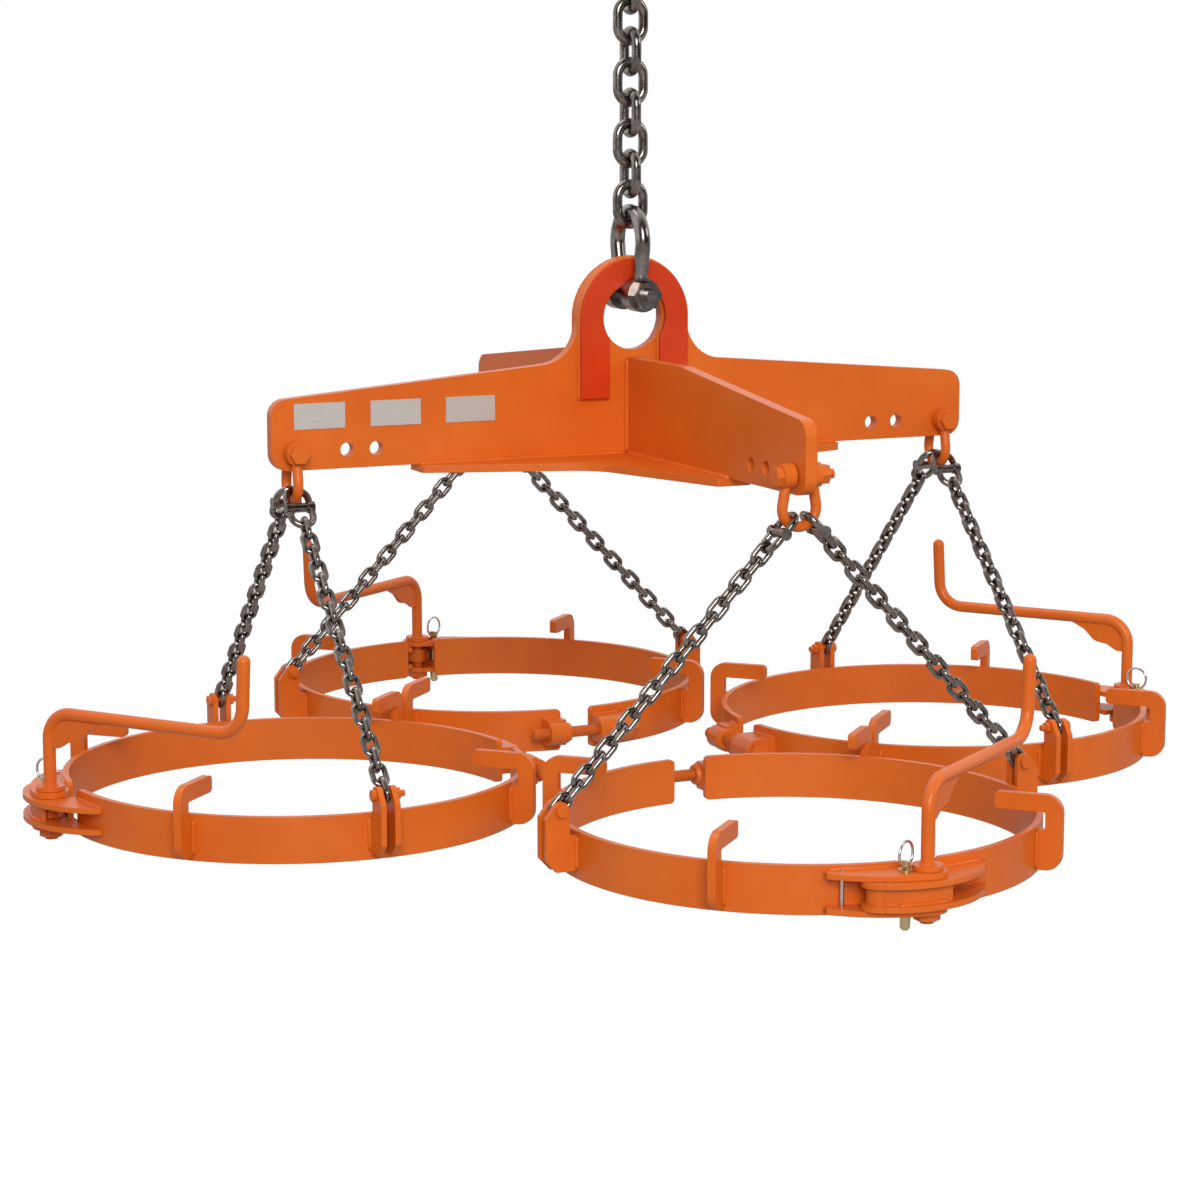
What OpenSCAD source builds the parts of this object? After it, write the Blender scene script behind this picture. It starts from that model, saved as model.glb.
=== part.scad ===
// Drum lifter. A cross-shaped spreader beam hangs from a chain by a bow shackle. At the end of
// each arm a smaller shackle carries a two-leg chain sling, and each sling holds a split clamp
// ring for a steel drum. A crank with a cam closes the ring, and a pin locks it.
// The origin is the seat of the crane hook, at the top of the master link's opening.

/* [Beam] */
// Distance from the lifter's centre line to each shackle hole
arm_hole_r = 477; // [470:1:520]
// Length of plate outside the shackle hole
arm_tip = 30; // [26:1:36]
// Thickness of the beam plates
beam_t = 16; // [12:1:17]
// Height of an arm's end
arm_end_h = 90; // [80:1:100]
// Corner radius of an arm's end
arm_corner_r = 22; // [10:1:24]
// Height of the shackle holes over the arm's lower edge
hole_up = 24; // [22:1:28]
// Diameter of the shackle holes and spare holes
arm_hole_d = 18; // [17:0.5:19]
// Distance from the shackle hole to the first spare hole
spare_step = 72; // [50:1:80]
// Distance between the two spare holes
spare_pitch = 40; // [30:1:50]
// Height of the beam at the lug, over the arm's lower edge
beam_mid_h = 133; // [120:1:140]
// Radius of the lifting lug
lug_r = 80; // [76:1:88]
// Diameter of the eye in the lifting lug
eye_d = 86; // [80:1:90]
// Height of the eye's centre over the arm's lower edge
eye_up = 181; // [175:1:195]
// Thickness of the cheek plates beside the eye
cheek_t = 8; // [6:0.5:8.5]
// Thickness of the star-shaped base plate
base_t = 10; // [8:1:14]
// Reach of the base plate's arms
base_reach = 307; // [290:1:330]

/* [Top chain] */
// Wire diameter of the master link
master_d = 18; // [16:1:20]
// Inside length of the master link
master_l = 135; // [120:1:160]
// Inside width of the master link
master_w = 75; // [60:1:80]
// Wire diameter of the top chain
chain_d = 13; // [12:0.5:14]
// Inside length of a top chain link
chain_l = 40; // [39:0.5:46]
// Inside width of a top chain link
chain_w = 24; // [23:0.5:26]
// Number of links in the top chain
chain_n = 8; // [6:2:12]
// Bow diameter of the master shackle
top_bow_d = 20; // [18:0.5:21]
// Pin diameter of the master shackle
top_pin_d = 24; // [22:0.5:25]
// Inside length of the master shackle
top_bow_l = 86; // [80:1:92]
// Inside width of the master shackle's bow
top_bow_w = 58; // [54:1:64]
// Jaw width of the master shackle
top_jaw = 36; // [35:0.5:40]

/* [Slings] */
// Bow diameter of an arm shackle
bow_d = 13; // [12:0.5:14]
// Pin diameter of an arm shackle
pin_d = 16; // [14:0.5:16.5]
// Inside length of an arm shackle
bow_l = 48; // [46:1:54]
// Inside width of an arm shackle's bow
bow_w = 33; // [32:1:38]
// Jaw width of an arm shackle
jaw = 21; // [19:0.5:23]
// Wire diameter of a coupling link
coupler_d = 9; // [8:0.5:9.5]
// Inside length of a coupling link
coupler_l = 46; // [45:1:52]
// Inside width of a coupling link
coupler_w = 20; // [19:0.5:22]
// Wire diameter of the leg chain
leg_d = 7; // [6:0.5:7.5]
// Inside width of a leg chain link
leg_w = 9.6; // [9:0.1:10.5]
// Number of links in a leg chain, odd so that both end links face the same way
leg_n = 19; // [17:2:21]
// Drop from a shackle hole to the ring's lug bolts
sling_drop = 381; // [370:1:400]

/* [Clamp rings] */
// Inner diameter of a closed ring
ring_d = 584; // [560:1:590]
// Height of the band
band_h = 58; // [56:1:64]
// Thickness of the band
band_t = 8; // [6:0.5:9]
// Gap between the band's ends
band_gap = 45; // [44:1:50]
// Height of the lug bolts over the middle of the band
lug_bolt_up = 55; // [50:1:60]
// Thickness of a rim hook
hook_t = 10; // [8:0.5:12]
// Reach of a rim hook's finger inside the band
hook_reach = 44; // [30:1:50]
// Height of the rim hooks over the middle of the band
hook_up = 67; // [62:1:72]
// Thickness of a chain lug plate
lug_t = 7; // [6:0.5:8]
// Space between two chain lug plates
lug_gap = 11; // [10.5:0.5:13]
// Diameter of a lug bolt
lug_bolt_d = 8; // [7:0.5:8.5]

/* [Latch] */
// Distance of the crank shaft from the band's outer face
shaft_out = 24.5; // [24:0.5:27]
// Diameter of the crank rod
crank_d = 16; // [14:0.5:17]
// Length of the crank arm
crank_l = 296; // [240:1:300]
// Height of the crank arm over the middle of the band
crank_up = 124; // [115:1:135]
// Length of the grip
grip_l = 58; // [45:1:80]
// Thickness of the lever and claw plates
plate_t = 6.8; // [6:0.1:7]
// Diameter of the lock pin
lock_d = 12; // [10:0.5:12.5]
// Diameter of the adjuster bolt
adjust_d = 15.5; // [14:0.5:16]

/* [Hidden] */
$fn = 48;
SIDES = ["right", "rear", "left", "front"];
RING_PARTS = [
  "shackle", "chain_sling", "ring_bands", "rim_hooks", "chain_lugs", "ring_fasteners", "lever_plates",
  "claw", "adjuster_sleeves", "adjuster_bolt", "crank_handle", "lock_pin", "lock_ring"
];

// Fits
run = 0.05;
slack = 0.2;
hang = 0.3;
seat = 0.1;
over = 1;

// Colours
paint = [0.84, 0.40, 0.15];
cheek_paint = [0.86, 0.30, 0.12];
dark_steel = [0.33, 0.31, 0.30];
zinc = [0.78, 0.74, 0.62];
plate_silver = [0.75, 0.75, 0.76];

// Levels, downwards from the hook's seat
chain_pitch = chain_l - slack;
chain_top = -master_l + slack;
chain_low = chain_top - (chain_n - 1) * chain_pitch - chain_l;
top_pin_z = chain_low + hang - top_bow_l - top_pin_d / 2;
eye_z = top_pin_z + top_pin_d / 2 + run - eye_d / 2;
beam_z = eye_z - eye_up;
hole_z = beam_z + hole_up;
pin_z = hole_z - arm_hole_d / 2 + pin_d / 2 + run;
lug_z = hole_z - sling_drop;
ring_z = lug_z - lug_bolt_up;

// Beam
tip_r = arm_hole_r + arm_tip;
spares = [arm_hole_r - spare_step, arm_hole_r - spare_step - spare_pitch];
lug_fillet = 54;
wing_knee = 170;
wing_h = beam_mid_h - 5;
cheek_r = lug_r - 2;
cheek_eye_r = eye_d / 2 + 3;
cheek_slot = 74;
cheek_low = 75;
base_end_w = 46;
base_root = 93;
base_fillet = 65;
base_corner = 6;
tag_w = 69;
tag_h = 33;
tag_t = 1;
tag_first = 442;
tag_pitch = 104;
tag_up = 69;
rivet_r = 2;
rivet_in = 4;

// Slings
bow_r = (bow_w + bow_d) / 2;
bow_lap = 1;
bow_step = 0.15;
round_part = 0.97;
ear_part = 1.2;
ear_d_part = 1.9;
bow_c = pin_z - pin_d / 2 - bow_l + bow_w / 2;
ring_r = ring_d / 2;
band_r = ring_r + band_t;
lug_bolt_r = band_r + 20;
leg_angle = atan2(lug_bolt_r, bow_c - lug_z);
leg_reach = norm([lug_bolt_r, bow_c - lug_z]);
coupler_s = bow_w / 2 - hang;
leg_s = coupler_s + coupler_l - slack;
leg_l = (leg_reach + lug_bolt_d / 2 + hang - leg_s + (leg_n - 1) * slack) / leg_n;
leg_pitch = leg_l - slack;
bush_r = 6;
coupler_pin_r = 4;
coupler_ear_r = 7.5;

// Clamp rings
gap_angle = asin(band_gap / 2 / ring_r);
band_corner = 6;
rim_gap = 10;
notch_up = 24;
hook_out = 31;
hook_low = 25;
hook_finger = 21;
hook_foot_r = 20;
hook_top_r = 22;
hook_tip_r = 6;
hook_neck_r = 3;
hook_angles = [45, 135, 225, 315];
lug_out = 40;
lug_eye_r = 10.6;
lug_low = 19;
lug_slant = 14;
lug_side = [4, 46];
lug_mid = (lug_gap + lug_t) / 2;
bolt_head_d = 14.3;
bolt_head_h = 5;
bolt_nut_af = 13;
bolt_nut_h = 6;
bolt_end = 6;

// Latch, in the ring's plane: outward from the ring's centre, then counter-clockwise
shaft = [band_r + shaft_out, -6];
lever_top = 24;
lever_mid = lever_top - plate_t / 2;
claw_mid = lever_mid - plate_t - hang;
lever_c = [band_r - 120, 4];
lever_end_r = 23;
lever_out = (shaft - lever_c) / norm(shaft - lever_c);
lever_r = norm(shaft - lever_c) + lever_end_r;
lever_touch = shaft + lever_end_r * lever_out;
lever_from = -22;
lever_to = atan2(lever_touch[1], lever_touch[0]);
claw_c = [band_r - 66, -14];
claw_r = 120.5;
claw_to = 17.8;
claw_nose = -11.5;
nose_in = band_r + 4;
nose_dir = [cos(claw_nose), sin(claw_nose)];
nose_reach = (pow(claw_r + nose_in, 2) - claw_c * claw_c) / (2 * (claw_r + nose_in - claw_c * nose_dir));
nose = nose_reach * nose_dir;
nose_r = nose_reach - nose_in;
nose_post_r = nose_r - 6;
web_out = claw_r - 8.5;
web_in = web_out - 4;
web_to = 3;
web_sink = 0.5;
shaft_room = 18;
lock_at = [band_r + 23, -33.5];
stop_angle = -18.5;
stop_at = (band_r + 7) * [cos(stop_angle), sin(stop_angle)];
stop_r = 2.5;
stop_proud = 2;
cam_r = 14.5;
cam_off = 1.8;
cam_h = 2 * (claw_mid - plate_t / 2) - 1;
collar_r = 18;
collar_h = 6;
crank_r = crank_d / 2;
crank_dir = 126;
crank_bend = 34;
grip_lean = 3;
grip_bend = 36;
grip_turn = 90 - grip_lean;
grip_run = grip_bend * tan(grip_turn / 2);
crank_nut_h = 10;
crank_tail = 4;
crank_nut_af = 27;
gusset_t = 6;
gusset_in = crank_bend * (1 - cos(45));
gusset = [
  [0, -crank_bend], [0, -45], [16, -45], [31, -36], [50, -33], [66, -17], [88, -6], [88, 0],
  [crank_bend, 0], [gusset_in, -gusset_in]
];
gusset_r = [0, 0, 7, 0, 18, 0, 0, 0, 0, 0];
lock_flange_r = 8.5;
lock_flange_h = 3;
lock_tip = 20;
lock_cone = 3;
lock_end_d = lock_d - 5;
lock_tab = 6;
lock_tab_h = 9;
lock_hole_up = lever_top + 5;
lock_ring_r = 15;
lock_wire_r = 1.6;
lock_hole_r = lock_wire_r + 0.8;
lock_ring_turn = 30;

// Adjuster, on the side towards the lifter's centre
adjust_r = adjust_d / 2;
adjust_out = band_r + 18.5;
sleeve_r = adjust_d;
tube_r = adjust_d + 2.5;
sleeve_from = -51;
sleeve_to = -18;
sleeve_chamfer = 6;
tube_from = 24;
tube_to = 74;
saddle_h = 36;
saddle_in = 10;
saddle_clear = 0.5;
adjust_from = -73;
adjust_head_af = 24;
adjust_head_h = 10;
adjust_chamfer = 1.5;

// A polygon with round corners, given counter-clockwise with a radius for each corner. An
// outer corner gets a disc, and an inner corner is cut out by one.
function unit(v) = v / norm(v);
function corner_half(p, q, r) = acos(unit(p - q) * unit(r - q)) / 2;
function turns_left(p, q, r) = cross(q - p, r - q) > 0;
function near(list, i) = list[(i + len(list)) % len(list)];
function corner_centre(pts, rad, i) =
  let (p = near(pts, i - 1), q = pts[i], r = near(pts, i + 1))
  q + unit(unit(p - q) + unit(r - q)) * rad[i] / sin(corner_half(p, q, r));
function corner_points(pts, rad, i) =
  let (p = near(pts, i - 1), q = pts[i], r = near(pts, i + 1), t = rad[i] / tan(corner_half(p, q, r)))
  rad[i] == 0 ? [q]
  : turns_left(p, q, r) ? [q + unit(p - q) * t, q + unit(r - q) * t]
  : [q + unit(p - q) * t, corner_centre(pts, rad, i), q + unit(r - q) * t];

module rounded(pts, rad) {
  count = len(pts);
  left = [for (i = [0:count - 1]) turns_left(near(pts, i - 1), pts[i], near(pts, i + 1))];
  difference() {
    union() {
      polygon([for (i = [0:count - 1]) each corner_points(pts, rad, i)]);
      for (i = [0:count - 1]) {
        if (rad[i] > 0 && left[i]) translate(corner_centre(pts, rad, i)) circle(rad[i]);
      }
    }
    for (i = [0:count - 1]) {
      if (rad[i] > 0 && !left[i]) translate(corner_centre(pts, rad, i)) circle(rad[i]);
    }
  }
}

// Places its children at one arm of the lifter, with X pointing outwards
module arm(q) {
  rotate([0, 0, 90 * q]) children();
}

// Places its children in a clamp ring's own frame, with X pointing outwards
module clamp(q) {
  arm(q) translate([arm_hole_r, 0, ring_z]) children();
}

// Stands a profile drawn in X and Y upright, centred on the XZ plane
module upright(t) {
  rotate([90, 0, 0]) translate([0, 0, -t / 2]) linear_extrude(t) children();
}

// Lies a flat profile down, centred on a height
module flat(z, t) {
  translate([0, 0, z - t / 2]) linear_extrude(t) children();
}

// A hexagon across its flats
module hex(af, h) {
  cylinder(h = h, d = af / cos(30), $fn = 6);
}

// A round bar between two points of the XZ plane
module bar(p, q, r) {
  translate([p[0], 0, p[1]])
    rotate([0, atan2(q[0] - p[0], q[1] - p[1]), 0]) cylinder(h = norm(q - p), r = r);
}

// A round bar along Z with a round upper end that has a small flat
module round_end(r, l) {
  rotate_extrude() {
    square([r, l]);
    translate([0, l]) intersection() {
      circle(r);
      square([r, round_part * r]);
    }
  }
}

// An arc of round bar in the XZ plane about a point
module bend(c, r, from, sweep, bar_r) {
  translate([c[0], 0, c[1]]) rotate([90, 0, 0]) rotate([0, 0, from])
    rotate_extrude(angle = sweep) translate([r, 0]) circle(bar_r);
}

// A chain link in the XZ plane
module link(d, l, w) {
  r = (w + d) / 2;
  c = (l - w) / 2;
  bend([0, c], r, 0, 180, d / 2);
  bend([0, -c], r, 180, 180, d / 2);
  bar([r, -c], [r, c], d / 2);
  bar([-r, -c], [-r, c], d / 2);
}

// The thickness of a shackle's flattened ear
function ear_t(d) = ear_part * d;

// The bow of a shackle in the YZ plane. The pin lies along Y through the origin, and the bow
// rises from it.
module bow(d, pin, l, w, gap) {
  r = (w + d) / 2;
  up = pin / 2 + l - w / 2;
  root = [(gap + ear_t(d)) / 2, pin / 2 + 0.2 * d];
  away = norm([root[0], up - root[1]]);
  slope = atan2(up - root[1], -root[0]) - asin(r / away);
  lap = root + (sqrt(away * away - r * r) + bow_lap) * [cos(slope), sin(slope)];
  start = slope - 90;
  rotate([0, 0, 90]) {
    bend([0, up], r, start, 180 - 2 * start, d / 2);
    for (s = [-1, 1]) {
      bar([s * root[0], root[1]], [s * lap[0], lap[1]], d / 2 + bow_step);
      translate([s * root[0], 0, 0]) rotate([0, 90, 0]) difference() {
        cylinder(h = ear_t(d), d = ear_d_part * pin, center = true);
        cylinder(h = 2 * ear_t(d), d = pin + 2 * run, center = true);
      }
    }
  }
}

// A shackle's bolt along Y with its head at the low end, a nut on its thinner end and, where
// asked for, a split pin through that end
module shackle_bolt(d, pin, gap, split_pin) {
  half = gap / 2 + ear_t(d);
  head = pin * 0.55;
  nut = pin * 0.7;
  tail = pin * 0.5;
  thread = pin * 0.75;
  across = pin * 1.4;
  split_d = pin * 0.2;
  split_at = half + seat + nut + split_d;
  rotate([-90, 0, 0]) {
    difference() {
      union() {
        translate([0, 0, -half - seat - head]) hex(across, head);
        translate([0, 0, -half - seat]) cylinder(h = 2 * half + seat, d = pin);
        translate([0, 0, half]) cylinder(h = seat + nut + tail, d = thread);
      }
      if (split_pin) translate([0, 0, split_at]) rotate([0, 90, 0]) {
        cylinder(h = 2 * pin, d = split_d, center = true);
      }
    }
    translate([0, 0, half + seat]) difference() {
      hex(across, nut);
      translate([0, 0, -over]) cylinder(h = nut + 2 * over, d = thread + 2 * run);
    }
    if (split_pin) translate([0, 0, split_at]) rotate([0, 90, 0]) {
      cylinder(h = across, d = split_d - 2 * run, center = true);
    }
  }
}

module master_link() {
  color(dark_steel) translate([0, 0, -master_l / 2]) link(master_d, master_l, master_w);
}

module top_chain() {
  color(dark_steel) for (i = [0:chain_n - 1]) {
    translate([0, 0, chain_top - chain_l / 2 - i * chain_pitch])
      rotate([0, 0, 90 * ((i + 1) % 2)]) link(chain_d, chain_l, chain_w);
  }
}

module master_shackle() {
  color(dark_steel) translate([0, 0, top_pin_z]) {
    bow(top_bow_d, top_pin_d, top_bow_l, top_bow_w, top_jaw);
    rotate([0, 0, 180]) shackle_bolt(top_bow_d, top_pin_d, top_jaw, false);
  }
}

// Holes for the shackle and its two spare places along one arm
module arm_holes() {
  for (x = concat([arm_hole_r], spares)) {
    translate([x, 0, hole_z]) rotate([90, 0, 0]) {
      cylinder(h = 2 * beam_t, d = arm_hole_d, center = true);
    }
  }
}

module main_beam() {
  slope_h = arm_end_h + (beam_mid_h - arm_end_h) * (tip_r - lug_r) / tip_r;
  color(paint) difference() {
    translate([0, 0, beam_z]) upright(beam_t) difference() {
      union() {
        rounded(
          [[-tip_r, 0], [tip_r, 0], [tip_r, arm_end_h], [lug_r, slope_h], [lug_r, eye_up], [-lug_r, eye_up],
           [-lug_r, slope_h], [-tip_r, arm_end_h]],
          [arm_corner_r, arm_corner_r, arm_corner_r, lug_fillet, 0, 0, lug_fillet, arm_corner_r]
        );
        translate([0, eye_up]) circle(lug_r);
      }
      translate([0, eye_up]) circle(d = eye_d);
    }
    arm_holes();
    arm(2) arm_holes();
  }
}

module cross_wings() {
  color(paint) for (q = [1, 3]) {
    arm(q) difference() {
      translate([0, 0, beam_z]) upright(beam_t) rounded(
        [[beam_t / 2, 0], [tip_r, 0], [tip_r, arm_end_h], [wing_knee, wing_h], [beam_t / 2, wing_h]],
        [0, arm_corner_r, arm_corner_r, 0, 0]
      );
      arm_holes();
    }
  }
}

module base_plate() {
  corners = [for (q = [0:3]) each [
    [base_reach, -base_end_w / 2] * [[cos(90 * q), sin(90 * q)], [-sin(90 * q), cos(90 * q)]],
    [base_reach, base_end_w / 2] * [[cos(90 * q), sin(90 * q)], [-sin(90 * q), cos(90 * q)]],
    [base_root, base_root] * [[cos(90 * q), sin(90 * q)], [-sin(90 * q), cos(90 * q)]]
  ]];
  color(paint) translate([0, 0, beam_z - base_t]) linear_extrude(base_t)
    rounded(corners, [for (q = [0:3]) each [base_corner, base_corner, base_fillet]]);
}

module eye_cheeks() {
  color(cheek_paint) for (s = [-1, 1]) {
    translate([0, s * (beam_t + cheek_t) / 2, beam_z]) upright(cheek_t) difference() {
      union() {
        translate([0, eye_up]) circle(cheek_r);
        translate([-cheek_r, cheek_low]) square([2 * cheek_r, eye_up - cheek_low]);
      }
      translate([0, eye_up]) circle(cheek_eye_r);
      translate([-cheek_slot / 2, cheek_low - over]) square([cheek_slot, eye_up - cheek_low]);
    }
  }
}

module rating_plates() {
  color(plate_silver) for (i = [0:2]) {
    translate([-tag_first + i * tag_pitch, -beam_t / 2 - tag_t, beam_z + tag_up]) {
      translate([-tag_w / 2, 0, -tag_h / 2]) cube([tag_w, tag_t, tag_h]);
      for (x = [-1, 1]) {
        translate([x * (tag_w / 2 - rivet_in), 0, 0]) rotate([90, 0, 0]) cylinder(h = tag_t, r = rivet_r);
      }
    }
  }
}

// The bolt's head faces the same way on the two arms of the main plate
module shackle(q) {
  color(paint) arm(q) translate([arm_hole_r, 0, pin_z]) rotate([180, 0, q == 2 ? 0 : 180]) {
    bow(bow_d, pin_d, bow_l, bow_w, jaw);
    shackle_bolt(bow_d, pin_d, jaw, true);
  }
}

// One half of a coupling link: a round end, two legs, and ears that are cut to half their
// width so that the other half's ears fit beside them
module coupler_half(outer) {
  r = (coupler_w + coupler_d) / 2;
  c = coupler_l / 2 - coupler_w / 2;
  difference() {
    union() {
      bend([0, c], r, 0, 180, coupler_d / 2);
      for (s = [-1, 1]) {
        bar([s * r, 0], [s * r, c], coupler_d / 2);
        translate([s * r, 0, 0]) rotate([0, 90, 0]) cylinder(h = coupler_d, r = coupler_ear_r, center = true);
      }
    }
    rotate([0, 90, 0]) cylinder(h = 4 * r, r = coupler_pin_r + run, center = true);
    if (outer) {
      translate([0, 0, -seat]) cube([2 * (r + seat), 4 * r, 2 * (coupler_ear_r + 0.5)], center = true);
    } else for (s = [-1, 1]) {
      translate([s * (r + 2 * coupler_d - seat), 0, -seat])
        cube([4 * coupler_d, 4 * r, 2 * (coupler_ear_r + 0.5)], center = true);
    }
  }
}

module coupler() {
  r = (coupler_w + coupler_d) / 2;
  coupler_half(true);
  rotate([180, 0, 0]) coupler_half(false);
  rotate([0, 90, 0]) cylinder(h = 2 * r + coupler_d, r = coupler_pin_r, center = true);
  rotate([0, 90, 0]) difference() {
    cylinder(h = coupler_w - 2 * seat, r = bush_r, center = true);
    cylinder(h = coupler_w, r = coupler_pin_r + run, center = true);
  }
}

// Two legs that run from the bow's round part to the lug bolts
module chain_sling(q) {
  color(dark_steel) arm(q) for (s = [-1, 1]) {
    translate([arm_hole_r, 0, bow_c]) rotate([180 + s * leg_angle, 0, 0]) {
      translate([0, 0, coupler_s + coupler_l / 2]) rotate([180, 0, 0]) coupler();
      for (i = [0:leg_n - 1]) {
        translate([0, 0, leg_s + leg_l / 2 + i * leg_pitch])
          rotate([0, 0, 90 * ((i + 1) % 2)]) link(leg_d, leg_l, leg_w);
      }
    }
  }
}

// Rounds one corner of a band end that lies at an angle, on its upper or lower edge
module band_corner_cut(angle, side, edge) {
  rotate([0, 0, angle]) translate([0, 0, edge * band_h / 2]) rotate([0, 90, 0]) difference() {
    translate([edge > 0 ? -0.5 : -band_corner, side > 0 ? -1 : -band_corner, ring_r - 2])
      cube([band_corner + 0.5, band_corner + 1, band_t + 4]);
    translate([edge * band_corner, side * band_corner, ring_r - 3]) cylinder(h = band_t + 6, r = band_corner);
  }
}

module ring_bands(q) {
  span = 180 - 2 * gap_angle;
  color(paint) clamp(q) for (s = [0, 180]) {
    difference() {
      rotate([0, 0, s + gap_angle]) rotate_extrude(angle = span, $fn = 96)
        translate([ring_r, -band_h / 2]) square([band_t, band_h]);
      for (e = [-1, 1]) {
        band_corner_cut(s + gap_angle, 1, e);
        band_corner_cut(s + gap_angle + span, -1, e);
      }
    }
  }
}

// What a round corner leaves of a square one, in the first quadrant about the corner's centre
module corner_waste(r) {
  difference() {
    square(r + over);
    circle(r);
  }
}

module rim_hooks(q) {
  tip = ring_r - hook_reach;
  foot = band_r + seat;
  neck = band_r + rim_gap;
  out = band_r + hook_out;
  under = hook_up - hook_finger;
  color(paint) clamp(q) for (a = hook_angles) {
    rotate([0, 0, a]) upright(hook_t) difference() {
      rounded(
        [[foot, -hook_low], [out, -hook_low], [out, hook_up], [tip, hook_up], [tip, under], [neck, under],
         [neck, notch_up], [foot, notch_up]],
        [0, 0, 0, hook_tip_r, hook_tip_r, hook_neck_r, 0, 0]
      );
      translate([out - hook_top_r, hook_up - hook_top_r]) corner_waste(hook_top_r);
      translate([out - hook_foot_r, hook_foot_r - hook_low]) rotate([0, 0, -90]) corner_waste(hook_foot_r);
    }
  }
}

module chain_lugs(q) {
  edge = band_r + lug_out;
  neck = lug_bolt_r - lug_eye_r;
  knee = [edge, lug_side[1]];
  centre = [lug_bolt_r, lug_bolt_up];
  away = norm(centre - knee);
  lean = atan2(centre[1] - knee[1], centre[0] - knee[0]) - asin(lug_eye_r / away);
  touch = knee + sqrt(away * away - lug_eye_r * lug_eye_r) * [cos(lean), sin(lean)];
  color(paint) clamp(q) for (a = [90, 270], s = [-1, 1]) {
    rotate([0, 0, a]) translate([0, s * lug_mid, 0]) upright(lug_t) difference() {
      union() {
        polygon([[band_r, -lug_low], [edge - lug_slant, -lug_low], [edge, -lug_side[0]], knee, touch, centre,
                 [neck, lug_bolt_up], [neck, notch_up], [band_r, notch_up]]);
        translate(centre) circle(lug_eye_r);
      }
      translate(centre) circle(d = lug_bolt_d + 2 * run);
    }
  }
}

// Lug bolts with their nuts, and the stop pin through the lever plates
module ring_fasteners(q) {
  half = lug_mid + lug_t / 2 + seat;
  nut = bolt_nut_h;
  color(paint) clamp(q) for (s = [-1, 1]) {
    translate([0, s * lug_bolt_r, lug_bolt_up]) rotate([0, -90, 0]) {
      translate([0, 0, -half - bolt_head_h]) cylinder(h = bolt_head_h, d = bolt_head_d);
      translate([0, 0, -half - over]) cylinder(h = over + 2 * half + nut + bolt_end, d = lug_bolt_d);
      translate([0, 0, half]) difference() {
        hex(bolt_nut_af, nut);
        translate([0, 0, -over]) cylinder(h = nut + 2 * over, d = lug_bolt_d + 2 * run);
      }
    }
  }
  color(zinc) clamp(q) translate([stop_at[0], stop_at[1], -lever_top]) {
    cylinder(h = 2 * lever_top + stop_proud, r = stop_r);
  }
}

// A wedge of the ring's plane between two angles
module wedge(from, to) {
  far = 2 * band_r;
  polygon([[0, 0], far * [cos(from), sin(from)], far * [cos(to), sin(to)]]);
}

module lever_plates(q) {
  color(paint) clamp(q) for (s = [-1, 1]) {
    flat(s * lever_mid, plate_t) difference() {
      union() {
        difference() {
          intersection() {
            translate(lever_c) circle(lever_r, $fn = 96);
            wedge(lever_from, lever_to);
          }
          circle(band_r + seat, $fn = 96);
        }
        translate(shaft) circle(lever_end_r);
      }
      translate(shaft) circle(crank_r + run);
      translate(lock_at) circle(d = lock_d + 2 * run);
      translate(stop_at) circle(stop_r + run);
    }
  }
}

// Two crescent plates and the curved web between them
module claw(q) {
  color(paint) clamp(q) {
    for (s = [-1, 1]) {
      flat(s * claw_mid, plate_t) difference() {
        union() {
          difference() {
            intersection() {
              translate(claw_c) circle(claw_r, $fn = 96);
              wedge(claw_nose, claw_to);
            }
            circle(band_r + seat, $fn = 96);
            intersection() {
              circle(nose_in, $fn = 96);
              wedge(2 * claw_nose, 0);
            }
          }
          translate(nose) circle(nose_r);
        }
        translate(shaft) circle(shaft_room);
        translate([ring_r, shaft[1] - shaft_room]) square([shaft[0] - ring_r, 2 * shaft_room]);
        translate(lock_at) circle(d = lock_d + 4 * hang);
      }
    }
    flat(0, 2 * (claw_mid - plate_t / 2 + web_sink)) {
      intersection() {
        difference() {
          translate(claw_c) circle(web_out, $fn = 96);
          translate(claw_c) circle(web_in, $fn = 96);
          circle(band_r, $fn = 96);
        }
        wedge(claw_nose, web_to);
      }
      translate(nose) circle(nose_post_r);
    }
  }
}

module crank_handle(q) {
  foot = -lever_top - seat - crank_nut_h - crank_tail;
  elbow = crank_up - crank_bend;
  grip_from = [crank_l, crank_up] + (grip_run - bow_lap) * [cos(grip_turn), sin(grip_turn)];
  color(paint) clamp(q) translate([shaft[0], shaft[1], 0]) {
    rotate([0, 0, crank_dir]) {
      bar([0, foot], [0, elbow], crank_r);
      bend([crank_bend, elbow], crank_bend, 90, 90, crank_r);
      bar([crank_bend, crank_up], [crank_l - grip_run, crank_up], crank_r);
      bend([crank_l - grip_run, crank_up + grip_bend], grip_bend, -90, grip_turn, crank_r);
      translate([grip_from[0], 0, grip_from[1]]) rotate([0, grip_lean, 0]) {
        round_end(crank_r + bow_step, grip_l);
      }
      translate([0, 0, crank_up]) upright(gusset_t) rounded(gusset, gusset_r);
    }
    translate([0, 0, lever_top + hang]) cylinder(h = collar_h, r = collar_r);
    translate([cam_off, 0, -cam_h / 2]) cylinder(h = cam_h, r = cam_r);
    translate([0, 0, -lever_top - seat - crank_nut_h]) difference() {
      hex(crank_nut_af, crank_nut_h);
      translate([0, 0, -over]) cylinder(h = crank_nut_h + 2 * over, r = crank_r + run);
    }
  }
}

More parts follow.
